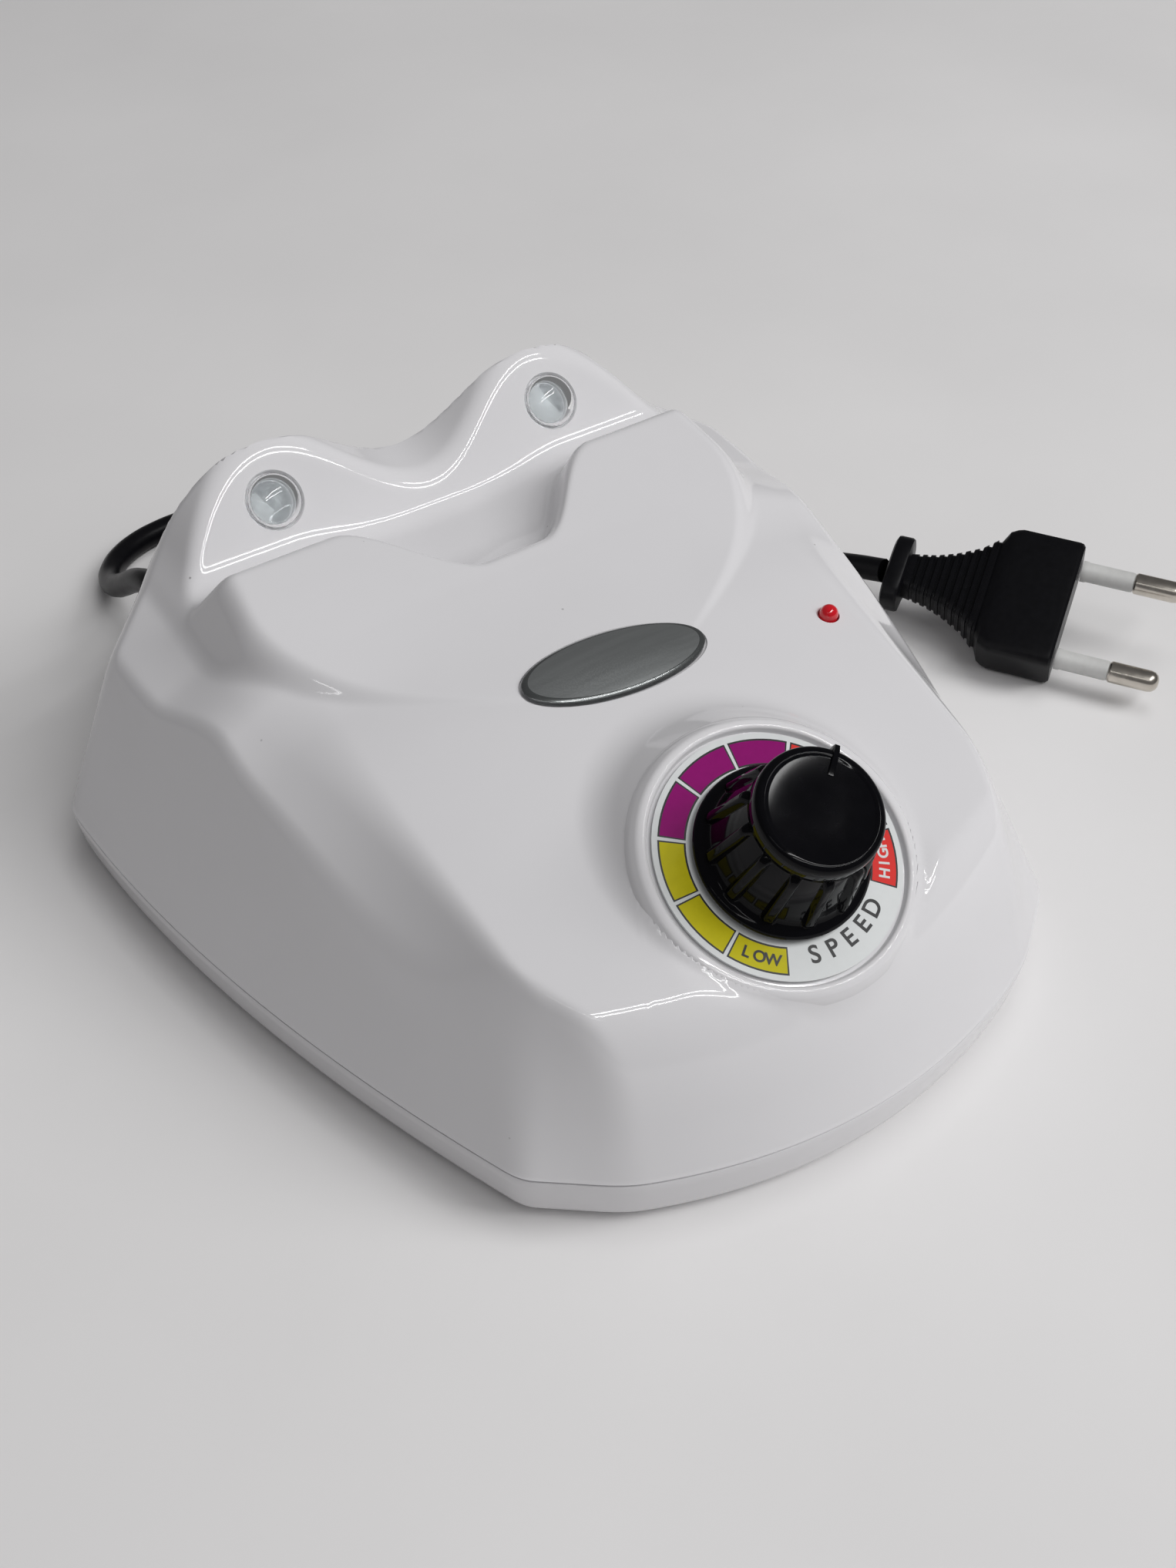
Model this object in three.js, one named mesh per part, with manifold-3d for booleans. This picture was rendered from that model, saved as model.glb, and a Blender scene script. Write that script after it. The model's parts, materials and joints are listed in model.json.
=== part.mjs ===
// Control box of an electric nail drill: two-part moulded case, speed dial, rear switches, mains lead.
// Millimetres, +Z up, front of the box towards -Y. The origin is on the table, under the middle of the case.
import * as THREE from 'three';
import * as BufferGeometryUtils from 'three/addons/utils/BufferGeometryUtils.js';
import Module from 'manifold-3d';

const wasm = await Module();
wasm.setup();

// ---------- driving dimensions ----------
const DEG = Math.PI / 180;
const HALF_WIDTH = 71.2;         // widest half width of the case, near the back
const FRONT = -68;               // foremost point of the front arc at the parting line
const REAR = 66.8;               // rear face at the parting line
const PARTING = 10.6;            // height of the line between the two covers
const WALL = 2.2;                // moulded wall thickness
const GAP = 0.3;                 // clearance kept between neighbouring pieces
const BASE_BOTTOM = 1.2;         // underside of the bottom cover
const REAR_LEAN = 4.8;           // degrees that the rear face leans in

const DIAL = { y: -42.4, z: 39.7, tilt: 26.1, label: 18.4, rim: 19.3, boss: 20.6 };
const KNOB = { skirt: 13.2, top: 8.6, height: 16.8 };
const PLAQUE = { y: -2, halfLength: 15.2, halfWidth: 6.1, turn: -6.4, slope: 8 };
const LED = { x: 36.5, y: -8, radius: 1.5 };
const BUMPER = { x: 26.3, y: 55.8, radius: 4.4, slope: 49.5 };
const FOOT = { radius: 5.5, height: 2, x: 47, yFront: -38, yBack: 53 };
const SCREW_POST = { x: 50, yFront: -24, yBack: 42, radius: 4.2 };
const CORD = { diameter: 4.6, exitX: -38, exitZ: 18, coilX: -2, coilY: 97.5, coilMid: 23 };
const PLUG = { x: 83.0, y: 26.3, z: 9.8, heading: -56.1, roll: 26 };

// ---------- outer shape of the case, as a height over the table ----------
const clamp01 = (t) => Math.min(1, Math.max(0, t));
function ease(x, from, to) {
  const t = clamp01((x - from) / (to - from));
  return t * t * (3 - 2 * t);
}
function softMin(a, b, k) {
  const h = Math.max(k - Math.abs(a - b), 0) / k;
  return Math.min(a, b) - h * h * k / 4;
}
const softMax = (a, b, k) => -softMin(-a, -b, k);

function crownLine(y) {          // the top panel along the middle of the case
  const t = y - PLAQUE.y;
  const front = 45.9 + 0.14 * t - 0.0012 * t * t;
  const back = 45.9 + 1.9 * (1 - Math.exp(-0.14 * t / 1.9));
  return (t < 0 ? front : back) - 4.8 * ease(y, 20, 38);
}
function panel(x, y) {
  const crown = 3 * (1 - ease(y, 10, 35));
  return crownLine(y) - crown * (x / 44) ** 2;
}
function sideBand(ax, y) {       // the flat band between the top panel and the side facet
  const edge = 43.2 + 0.06 * y;
  const ahead = Math.max(0, 20 - y);
  const slope = 0.45 + 0.0125 * ahead + 0.00018 * ahead ** 2;
  return panel(edge, y) + slope * (edge - ax);
}
function sideFacet(ax, y) {
  const half = HALF_WIDTH - 0.004975 * Math.abs(52 - y) ** 1.82;
  return PARTING + 2.17 * (half - ax);
}
function bevel(ax, y, cornerX, cornerY, nx, ny, slope) {   // a face over a straight line in plan
  return PARTING + slope * ((cornerX - ax) * nx + (cornerY - y) * ny);
}
function cornerFacet(ax, y) {    // the twisted face between the side facet and the front face
  const along = 0.788 * ax + 0.616 * y;
  const slope = Math.min(3.2, Math.max(1.45, 2.5 - 0.09 * along));
  return bevel(ax, y, 48.5, -50.5, 0.616, -0.788, slope);
}
const frontFace = (x, y) => PARTING + 2.7 * (y - FRONT - x * x / 161);
const rearFace = (y) => PARTING + (REAR - y) / Math.tan(REAR_LEAN * DEG);

function turret(ax, y) {         // the raised rest for the handpiece
  const front = 46.9 + 0.225 * (y - 13);
  const lip = 26 + 15 * ease(ax, 5, 24);
  const lipHeight = 46.9 + 0.225 * (lip - 13);
  const hump = softMin(front, lipHeight - 1.6 * (y - lip), 2.5);
  const floor = 42.8 + 2.2 * ease(ax, 5, 26);
  const inner = 48.8 + 5.35 * (1 - Math.cos(Math.PI * Math.min(ax, 25) / 25));
  const ridgeTop = inner - 14 * (Math.max(0, ax - 25) / 20) ** 2;
  const ridge = softMin(45 + 1.17 * (y - 50), ridgeTop, 3);
  const half = 47.5 - 10.5 * (Math.max(0, 33 - y) / 20) ** 2;
  const top = softMax(softMax(hump, floor, 2), ridge, 3);
  return softMin(top, 44 + 1.9 * (half - ax), 4);
}
function caseHeight(x, y) {
  const ax = Math.abs(x);
  let z = softMin(panel(x, y), sideBand(ax, y), 2);
  z = softMin(z, frontFace(x, y), 13);
  z = softMin(z, cornerFacet(ax, y), 2.6);
  z = softMin(z, sideFacet(ax, y), 2.4);
  z = softMax(z, turret(ax, y), 2.5);
  z = softMin(z, rearFace(y), 5);
  return softMin(z, bevel(ax, y, 70, 54, 0.72, 0.694, 3.2), 8);
}
function innerHeight(x, y) {     // the same surface, one wall thickness further in
  let z = caseHeight(x, y) - WALL;
  for (let i = 0; i < 12; i++) {
    for (const share of [0.6, 1]) {
      const r = share * WALL;
      const a = i * Math.PI / 6;
      const rise = Math.sqrt(Math.max(0, WALL * WALL - r * r));
      z = Math.min(z, caseHeight(x + r * Math.cos(a), y + r * Math.sin(a)) - rise);
    }
  }
  return z;
}

// ---------- geometry helpers ----------
const AROUND = 44;
const MIDDLE_Y = 4;
function outlineOf(height, level) {           // where the surface passes a level, around the case
  const points = [];
  for (let i = 0; i < AROUND; i++) {
    const a = 2 * Math.PI * i / AROUND;
    let low = 20;
    let high = 110;
    for (let k = 0; k < 30; k++) {
      const r = (low + high) / 2;
      if (height(r * Math.cos(a), MIDDLE_Y + r * Math.sin(a)) > level) low = r;
      else high = r;
    }
    points.push([low * Math.cos(a), MIDDLE_Y + low * Math.sin(a)]);
  }
  return points;
}
function inset(points, distance) {
  return points.map(([x, y], i) => {
    const [ax, ay] = points[(i + AROUND - 1) % AROUND];
    const [bx, by] = points[(i + 1) % AROUND];
    const length = Math.hypot(bx - ax, by - ay);
    return [x - distance * (by - ay) / length, y + distance * (bx - ax) / length];
  });
}
function ringSolid(start, rings, end) {       // rings of points from one end point to the other
  const position = [...start];
  for (const ring of rings) for (const p of ring) position.push(...p);
  position.push(...end);
  const index = [];
  const n = rings[0].length;
  const at = (k, i) => 1 + k * n + i % n;
  for (let i = 0; i < n; i++) {
    index.push(0, at(0, i), at(0, i + 1));
    index.push(1 + rings.length * n, at(rings.length - 1, i + 1), at(rings.length - 1, i));
  }
  for (let k = 0; k + 1 < rings.length; k++) {
    for (let i = 0; i < n; i++) {
      index.push(at(k, i), at(k + 1, i), at(k + 1, i + 1));
      index.push(at(k, i), at(k + 1, i + 1), at(k, i + 1));
    }
  }
  const geometry = new THREE.BufferGeometry();
  geometry.setAttribute('position', new THREE.Float32BufferAttribute(position, 3));
  geometry.setIndex(index);
  return geometry;
}
function cylinder(radius, bottom, top, sides = 24, topRadius = radius) {
  const g = new THREE.CylinderGeometry(topRadius, radius, top - bottom, sides);
  return g.rotateX(Math.PI / 2).translate(0, 0, (top + bottom) / 2);
}
function block(x0, x1, y0, y1, z0, z1) {
  return new THREE.BoxGeometry(x1 - x0, y1 - y0, z1 - z0)
    .translate((x0 + x1) / 2, (y0 + y1) / 2, (z0 + z1) / 2);
}
function lathe(profile, sides = 32) {         // profile of [radius, height], about +Z
  const points = profile.map(([r, z]) => new THREE.Vector2(r, z));
  return new THREE.LatheGeometry(points, sides).rotateX(Math.PI / 2);
}
function prism(shape, bottom, top, segments = 12) {
  const options = { depth: top - bottom, bevelEnabled: false, curveSegments: segments };
  return new THREE.ExtrudeGeometry(shape, options).translate(0, 0, bottom);
}
function ellipse(a, b) {
  return new THREE.Shape().absellipse(0, 0, a, b, 0, 2 * Math.PI);
}
function solid(geometry) {
  const g = geometry.clone();
  g.deleteAttribute('normal');
  g.deleteAttribute('uv');
  const merged = BufferGeometryUtils.mergeVertices(g, 1e-4);
  return new wasm.Manifold(new wasm.Mesh({
    numProp: 3,
    vertProperties: new Float32Array(merged.attributes.position.array),
    triVerts: new Uint32Array(merged.index.array),
  }));
}
function combine(base, joined, cut) {
  let result = solid(base);
  for (const g of joined) result = result.add(solid(g));
  for (const g of cut) result = result.subtract(solid(g));
  const mesh = result.getMesh();
  const geometry = new THREE.BufferGeometry();
  geometry.setAttribute('position', new THREE.BufferAttribute(mesh.vertProperties, 3));
  geometry.setIndex(new THREE.BufferAttribute(mesh.triVerts, 1));
  return geometry;
}
function posed(geometry, group) {             // a geometry moved from a group's frame to the case's
  group.updateMatrixWorld(true);
  return geometry.clone().applyMatrix4(group.matrixWorld);
}

// ---------- materials ----------
const plastic = (color, roughness) => new THREE.MeshStandardMaterial({ color, roughness });
const metal = (color, roughness) => new THREE.MeshStandardMaterial({ color, roughness, metalness: 1 });
const look = {
  white: plastic(0xf3f3f5, 0.18), rubber: plastic(0x202124, 0.7), clear: plastic(0xdfe6e8, 0.08),
  silver: metal(0xaab0b0, 0.3), label: plastic(0xe9ecec, 0.3), black: plastic(0x08080a, 0.12),
  steel: metal(0xb9babb, 0.35), red: plastic(0xc01018, 0.1), cable: plastic(0x141416, 0.4),
  board: plastic(0x1f6b3a, 0.5), copper: metal(0xb0703a, 0.4), core: metal(0x6a6c70, 0.6),
  aluminium: metal(0xc4c7ca, 0.4), sleeve: plastic(0xd6d6d2, 0.5), brass: metal(0xc9a45a, 0.35),
};

const part = new THREE.Group();
function place(name, geometry, material, parent = part) {
  const mesh = new THREE.Mesh(geometry, material.clone());
  mesh.name = name;
  parent.add(mesh);
  return mesh;
}
function frameAt(x, y, z, tiltDegrees, turnDegrees = 0) {   // +Z of the frame leans towards -Y
  const g = new THREE.Group();
  g.position.set(x, y, z);
  g.rotation.set(tiltDegrees * DEG, 0, turnDegrees * DEG);
  part.add(g);
  return g;
}
const dial = frameAt(0, DIAL.y, DIAL.z, DIAL.tilt);
const plaqueSeat = frameAt(0, PLAQUE.y, panel(0, PLAQUE.y), PLAQUE.slope, PLAQUE.turn);
const ledSeat = frameAt(LED.x, LED.y, caseHeight(LED.x, LED.y), 9);
const bumperSeats = [-1, 1].map((side) => frameAt(
  side * BUMPER.x, BUMPER.y, caseHeight(BUMPER.x, BUMPER.y), BUMPER.slope));
const rearAt = (x, z) => frameAt(x, REAR - (z - PARTING) * Math.tan(REAR_LEAN * DEG), z, REAR_LEAN - 90);

// ---------- rear panel layout ----------
const SWITCHES = [
  { name: 'power_switch', x: -15, z: 27 },
  { name: 'direction_switch', x: 6, z: 27 },
  { name: 'mode_switch', x: 27, z: 27 },
].map((s) => ({ ...s, seat: rearAt(s.x, s.z) }));
const SOCKETS = [
  { name: 'handpiece_socket', x: -36, z: 32 },
  { name: 'pedal_socket', x: 44.5, z: 27 },
].map((s) => ({ ...s, seat: rearAt(s.x, s.z) }));
const SWITCH = { halfX: 6.2, halfY: 9.4, rim: 1.4, depth: 12 };
const cordSeat = new THREE.Group();
cordSeat.position.set(CORD.exitX, REAR, CORD.exitZ);
cordSeat.rotation.x = -Math.PI / 2;
part.add(cordSeat);

// ---------- covers ----------
const outline = outlineOf(caseHeight, PARTING);
const innerOutline = outlineOf(innerHeight, PARTING);
function surfaceRings(edge, height, shares) {
  return shares.map((share) => edge.map(([x, y]) => {
    const px = x * share;
    const py = MIDDLE_Y + (y - MIDDLE_Y) * share;
    return [px, py, share === 1 ? PARTING : height(px, py)];
  }));
}
const OUTER_SHARES = [0.2, 0.38, 0.52, 0.62, 0.7, 0.77, 0.83, 0.88, 0.92, 0.96, 1];
const INNER_SHARES = [1, 0.95, 0.87, 0.76, 0.6, 0.35];
const PAD_DEPTH = 0.75;
const posts = [];
for (const side of [-1, 1]) {
  for (const y of [SCREW_POST.yFront, SCREW_POST.yBack]) posts.push([side * SCREW_POST.x, y]);
}
function topCover() {
  const shell = ringSolid([0, MIDDLE_Y, caseHeight(0, MIDDLE_Y)], [
    ...surfaceRings(outline, caseHeight, OUTER_SHARES),
    ...surfaceRings(innerOutline, innerHeight, INNER_SHARES),
  ], [0, MIDDLE_Y, innerHeight(0, MIDDLE_Y)]);
  const bossProfile = [[0, -3.4], [17, -3.4], [17, -7], [26, -7], [DIAL.boss, 0], [DIAL.rim, 0.3], [0, 0.3]];
  const boss = lathe(bossProfile, 36);
  const frontGuard = block(-30, 30, FRONT - 20, DIAL.y - DIAL.boss * 0.86, 0, 70);
  const bossKept = combine(boss, [], [posedInto(frontGuard, dial)]);
  const joined = [posed(bossKept, dial)];
  const cut = [
    posed(cylinder(DIAL.rim - 0.3, -PAD_DEPTH, 4, 40), dial),
    posed(cylinder(3.8, -12, 2), dial),
    posed(cylinder(9, -20, -3.4), dial),
    posed(prism(ellipse(PLAQUE.halfLength + 0.6, PLAQUE.halfWidth + 0.6), -0.6, 4), plaqueSeat),
    posed(cylinder(LED.radius + 0.3, -6, 3), ledSeat),
    posed(cylinder(5.4, -8, 12), cordSeat),
  ];
  for (const seat of bumperSeats) cut.push(posed(cylinder(BUMPER.radius + 0.4, -0.9, 6), seat));
  for (const s of SWITCHES) {
    cut.push(posed(block(-SWITCH.halfX, SWITCH.halfX, -SWITCH.halfY, SWITCH.halfY, -8, 3), s.seat));
  }
  for (const s of SOCKETS) cut.push(posed(cylinder(4.2, -8, 3), s.seat));
  for (const [x, y] of posts) {
    const ceiling = innerHeight(x, y);
    joined.push(cylinder(SCREW_POST.radius, PARTING + 0.4, ceiling + 1, 16).translate(x, y, 0));
    cut.push(cylinder(1.8, 0, 24, 12).translate(x, y, 0));
  }
  return combine(shell, joined, cut);
}
function posedInto(geometry, group) {         // a geometry moved from the case's frame to a group's
  group.updateMatrixWorld(true);
  return geometry.clone().applyMatrix4(group.matrixWorld.clone().invert());
}
place('top_cover', topCover(), look.white);

const BOARD = { x: 10, y: -14, halfX: 34, halfY: 22, bottom: 8.8, top: 10.4 };
const boardPosts = [];
for (const sx of [-1, 1]) {
  for (const sy of [-1, 1]) boardPosts.push([BOARD.x + sx * 30, BOARD.y + sy * 18]);
}
const CORE = { x: -30, y: 26, width: 41, height: 29, depth: 16, bottom: 7.4 };
const strapScrews = [[CORE.x - 27, CORE.y], [CORE.x + 27, CORE.y]];
const footSpots = [
  [-FOOT.x + 6, FOOT.yFront], [FOOT.x - 6, FOOT.yFront], [-FOOT.x - 5, FOOT.yBack], [FOOT.x + 5, FOOT.yBack],
];
function bottomCover() {
  const level = (points, z) => points.map(([x, y]) => [x, y, z]);
  const toMiddle = (points, share, z) => points.map(([x, y]) => [x * share, y * share, z]);
  const top = PARTING - GAP;
  const floor = BASE_BOTTOM + WALL + 0.2;
  const inside = inset(outline, WALL + 0.4);
  const tray = ringSolid([0, 0, floor], [
    toMiddle(inside, 0.5, floor), level(inset(outline, WALL + 1.2), floor),
    level(inside, top), level(outline, top),
    level(inset(outline, 1), 3), level(inset(outline, 1.6), 1.7),
    level(inset(outline, 3), BASE_BOTTOM), toMiddle(outline, 0.5, BASE_BOTTOM),
  ], [0, 0, BASE_BOTTOM]);
  const joined = [];
  const cut = [];
  for (const [x, y] of posts) {
    joined.push(cylinder(5, floor - 1, top - 0.2, 12).translate(x, y, 0));
    cut.push(cylinder(3.5, 0, 6.4, 12).translate(x, y, 0), cylinder(1.8, 0, 20, 12).translate(x, y, 0));
  }
  for (const [x, y] of boardPosts) {
    joined.push(cylinder(3, floor - 1, BOARD.bottom - GAP, 8).translate(x, y, 0));
    cut.push(cylinder(1.2, 5, 20, 8).translate(x, y, 0));
  }
  for (const [x, y] of strapScrews) {
    joined.push(cylinder(4, floor - 1, CORE.bottom - GAP, 12).translate(x, y, 0));
    cut.push(cylinder(1.5, 4, 20, 12).translate(x, y, 0));
  }
  const reach = CORE.width / 2 - 2;
  const bed = [CORE.x - reach, CORE.x + reach, CORE.y - 7, CORE.y + 7];
  joined.push(block(...bed, floor - 1, CORE.bottom - GAP));
  for (const [x, y] of footSpots) {
    cut.push(cylinder(FOOT.radius + 0.4, 0, FOOT.height + GAP, 20).translate(x, y, 0));
  }
  return combine(tray, joined, cut);
}
place('bottom_cover', bottomCover(), look.white);
['foot_front_left', 'foot_front_right', 'foot_back_left', 'foot_back_right'].forEach((name, i) => {
  place(name, cylinder(FOOT.radius - 0.5, 0, FOOT.height, 20, FOOT.radius), look.rubber)
    .position.set(...footSpots[i], 0);
});
function placeScrews(name, spots, profile) {
  spots.forEach(([x, y], i) => {
    place(`${name}_${i + 1}`, lathe(profile, 8), look.steel).position.set(x, y, 0);
  });
}
placeScrews('cover_screw', posts, [[0, 4.2], [3, 4.2], [3, 6.1], [1.4, 6.1], [1.4, 18], [0, 19.5]]);

// ---------- pieces on the front ----------
bumperSeats.forEach((seat, i) => {
  const r = BUMPER.radius;
  const dome = [[0, -0.5], [r, -0.5], [r, 0.1]];
  for (let k = 1; k <= 5; k++) dome.push([r * Math.cos(k * 18 * DEG), 0.1 + 2 * Math.sin(k * 18 * DEG)]);
  dome[dome.length - 1][0] = 0;
  place(['bumper_left', 'bumper_right'][i], lathe(dome, 16), look.clear, seat);
});
const plaqueBase = prism(ellipse(PLAQUE.halfLength, PLAQUE.halfWidth), -GAP, 0.9, 16);
const plaqueTop = prism(ellipse(PLAQUE.halfLength - 0.8, PLAQUE.halfWidth - 0.8), 0.8, 1.2, 16);
place('name_plaque', combine(plaqueBase, [plaqueTop], []), look.silver, plaqueSeat);
const labelProfile = [[3.9, -0.4], [DIAL.label, -0.4], [DIAL.label, 0], [3.9, 0], [3.9, -0.4]];
place('dial_label', lathe(labelProfile, 36), look.label, dial);
const ledProfile = [[0, -5], [LED.radius, -5], [LED.radius, 0.4], [1.3, 1.1], [0.75, 1.6], [0, 1.8]];
place('power_led', lathe(ledProfile, 12), look.red, ledSeat);

// ---------- speed control: potentiometer and knob ----------
const knobPointer = new THREE.Group();
knobPointer.rotation.z = -47.4 * DEG;
dial.add(knobPointer);
function knobGeometry() {
  const lobes = 12;
  const body = new THREE.Shape();
  for (let i = 0; i < lobes * 4; i++) {
    const a = 2 * Math.PI * i / (lobes * 4);
    const r = 9.9 + 0.9 * Math.cos(lobes * a);
    if (i) body.lineTo(r * Math.cos(a), r * Math.sin(a));
    else body.moveTo(r * Math.cos(a), r * Math.sin(a));
  }
  const top = KNOB.height;
  const skirt = lathe([[0, 0.8], [KNOB.skirt, 0.8], [KNOB.skirt, 2], [KNOB.skirt - 2.6, 3.4], [0, 3.4]], 32);
  const cap = lathe([[0, 3], [9.3, 3], [9.3, top - 1], [KNOB.top, top], [0, top]], 32);
  const pointer = block(-0.7, 0.7, 4, 9.6, top - 3, top + 0.5);
  return combine(skirt, [prism(body, 3.2, top - 3.6), cap, pointer], [
    cylinder(6.6, 0, 3, 24), cylinder(3.3, 0, 13.4, 20)]);
}
place('speed_knob', knobGeometry(), look.black, knobPointer);
place('potentiometer_shaft', lathe([[0, 2.9], [3, 2.9], [3, 13], [0, 13]], 20), look.aluminium, knobPointer);
const potentiometerNut = combine(cylinder(5.6, GAP, 2.1, 6), [], [cylinder(3.6, -1, 4, 20)]);
place('potentiometer_nut', potentiometerNut, look.steel, dial);
place('potentiometer_body', lathe([[0, -13], [8, -13], [8, -4], [3.3, -4], [3.3, 2.5], [0, 2.5]], 28),
  look.aluminium, dial);

// ---------- rear panel ----------
function switchFrame() {
  const { halfX, halfY, rim, depth } = SWITCH;
  const body = block(-halfX + GAP, halfX - GAP, -halfY + GAP, halfY - GAP, -depth, 0.5);
  const flange = block(-halfX - rim, halfX + rim, -halfY - rim, halfY + rim, GAP, 1.1);
  return combine(body, [flange], [block(-4.6, 4.6, -7.8, 7.8, -8, 3)]);
}
function rockerGeometry() {                   // a shallow V across the panel, pivoted below its face
  const reach = 6.9;
  const face = 10 * DEG;
  const s = new THREE.Shape();
  s.moveTo(-reach, 1.1 + reach * Math.tan(face));
  s.lineTo(0, 1.1);
  s.lineTo(reach, 1.1 + reach * Math.tan(face));
  s.lineTo(reach * 0.8, -1.5);
  s.lineTo(1.5, -3.2);
  s.lineTo(-1.5, -3.2);
  s.lineTo(-reach * 0.8, -1.5);
  s.closePath();
  return prism(s, -4.2, 4.2).rotateX(Math.PI / 2).rotateZ(Math.PI / 2);
}
const PIVOT_DEPTH = 2.4;
for (const s of SWITCHES) {
  place(`${s.name}_frame`, switchFrame(), look.black, s.seat);
  const rocker = place(`${s.name}_rocker`, rockerGeometry(), look.black, s.seat);
  rocker.position.z = -PIVOT_DEPTH;
  rocker.rotation.x = 10 * DEG;
}
for (const s of SOCKETS) {
  place(s.name, lathe([[1.8, -15], [5.4, -15], [5.4, -3], [3.6, -3], [3.6, 1.2], [1.8, 1.2], [1.8, -15]], 16),
    look.black, s.seat);
  const nut = combine(cylinder(5.6, GAP, 1.4, 16), [], [cylinder(3.9, -1, 4, 16)]);
  place(`${s.name}_nut`, nut, look.steel, s.seat);
}

// ---------- electronics ----------
place('circuit_board', combine(block(BOARD.x - BOARD.halfX, BOARD.x + BOARD.halfX,
  BOARD.y - BOARD.halfY, BOARD.y + BOARD.halfY, BOARD.bottom, BOARD.top), [],
boardPosts.map(([x, y]) => cylinder(1.6, 5, 20, 12).translate(x, y, 0))), look.board);
const onBoard = BOARD.top + GAP;
placeScrews('board_screw', boardPosts,
  [[0, 5.4], [0.9, 6], [0.9, onBoard], [2.8, onBoard], [2.8, 12.4], [0, 12.4]]);
place('smoothing_capacitor', cylinder(6.3, onBoard, onBoard + 16, 24).translate(30, 0, 0), look.cable);
place('regulator_heatsink', combine(block(-8, 14, -2, 1, onBoard, onBoard + 17), [-6, -1, 4, 9].map((x) =>
  block(x, x + 2, -7, -1, onBoard, onBoard + 17)), []).translate(2, -4, 0), look.aluminium);
place('speed_regulator', block(0, 10, -2.6, 1.8, onBoard + 3, onBoard + 15), look.cable);
place('fuse', cylinder(2.5, 0, 20, 16).rotateY(Math.PI / 2).translate(14, -28, onBoard + 2.6), look.clear);
place('terminal_block', combine(block(-12, 0, -32, -24, onBoard, onBoard + 9), [], [-9, -3].map((x) =>
  cylinder(1.6, onBoard + 2, onBoard + 20, 12).translate(x, -28, 0))), look.board);

const coreSeat = new THREE.Group();           // transformer, laminations across Y
coreSeat.position.set(CORE.x, CORE.y, CORE.bottom + CORE.height / 2);
coreSeat.rotation.x = Math.PI / 2;
part.add(coreSeat);
const halfDepth = CORE.depth / 2;
const windows = [-1, 1].map((side) => block(side * 10.3 - 3.3, side * 10.3 + 3.3, -9.5, 9.5, -20, 20));
const halfCore = [CORE.width / 2, CORE.height / 2];
const coreBlock = block(-halfCore[0], halfCore[0], -halfCore[1], halfCore[1], -halfDepth, halfDepth);
place('transformer_core', combine(coreBlock, [], windows), look.core, coreSeat);
place('transformer_winding', combine(block(-13.2, 13.2, -9, 9, -13.5, 13.5), [],
  [block(-7.4, 7.4, -20, 20, -halfDepth - GAP, halfDepth + GAP)]), look.copper, coreSeat);
function strap() {
  const t = 1.1;
  const w = CORE.width / 2 + GAP;
  const top = CORE.bottom + CORE.height + GAP;
  const z0 = CORE.bottom;
  const s = new THREE.Shape();
  const path = [[-32, z0], [-w, z0], [-w, top], [w, top], [w, z0], [32, z0], [32, z0 + t],
    [w + t, z0 + t], [w + t, top + t], [-w - t, top + t], [-w - t, z0 + t], [-32, z0 + t]];
  path.forEach(([x, z], i) => (i ? s.lineTo(x, z) : s.moveTo(x, z)));
  s.closePath();
  const bar = prism(s, -5.5, 5.5).rotateX(Math.PI / 2).translate(CORE.x, CORE.y, 0);
  return combine(bar, [], strapScrews.map(([x, y]) => cylinder(2, 4, 12, 12).translate(x, y, 0)));
}
place('transformer_strap', strap(), look.steel);
const strapTop = CORE.bottom + 1.1 + GAP;
placeScrews('strap_screw', strapScrews,
  [[0, 4.4], [1.1, 4.9], [1.1, strapTop], [3, strapTop], [3, strapTop + 1.8], [0, strapTop + 1.8]]);

// ---------- mains lead ----------
const BUSHING_LENGTH = 21;
const bushingProfile = [[2.9, -7.4], [6.6, -7.4], [6.6, -4.8], [4.9, -4.8], [4.9, 0], [6.2, 0], [6.2, 1.2],
  [4.6, 3], [3.7, BUSHING_LENGTH], [2.9, BUSHING_LENGTH], [2.9, -7.4]];
place('cord_bushing', lathe(bushingProfile, 16), look.cable, cordSeat);
function route(points) {
  return new THREE.CatmullRomCurve3(points.map((p) => new THREE.Vector3(...p)), false, 'centripetal');
}
function tube(points, steps) {
  const section = new THREE.Shape().absarc(0, 0, CORD.diameter / 2, 0, 2 * Math.PI);
  return new THREE.ExtrudeGeometry(section, { steps, curveSegments: 4, extrudePath: route(points) });
}
const LOW = CORD.diameter / 2 + 0.05;
const REAR_LEAD = [
  [-38, REAR + 0.3, 18], [-38, 78, 18], [-38, 87, 17.9], [-38.1, 93, 16.6], [-38.4, 98.5, 13.6],
  [-38.8, 103.5, 9.8], [-39.1, 108.5, 6.3], [-38.6, 113.5, 3.9], [-36.6, 118.2, 2.7], [-33, 121.9, LOW],
  [-28.2, 124.3, LOW], [-23.5, 125.4, LOW], [-19.5, 125.7, LOW],
];
const PLUG_LEAD = [
  [22.9, 110.3, 7], [26.5, 108.4, 7], [30.2, 106.5, 5.7], [34.2, 104.5, 4.1], [38.8, 102.4, 2.8],
  [44, 100.3, LOW], [51, 97.8, LOW], [58, 94.9, LOW], [64.4, 91.2, LOW], [69.9, 86.6, LOW], [74.1, 81, LOW],
  [76.6, 74.6, LOW], [77.4, 68, LOW], [77.4, 61, LOW], [77.4, 54, LOW], [77.6, 48.5, 2.7], [78.3, 43, 4.2],
  [79.5, 37.5, 6.2], [81, 32, 8.2], [82.6, 27.2, 9.6],
];
place('cord_lead_rear', tube(REAR_LEAD, 20), look.cable);
place('cord_lead_plug', tube(PLUG_LEAD, 26), look.cable);
const coilInner = CORD.coilMid - 1.5 * CORD.diameter;   // three turns below, the two inner ones above
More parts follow.
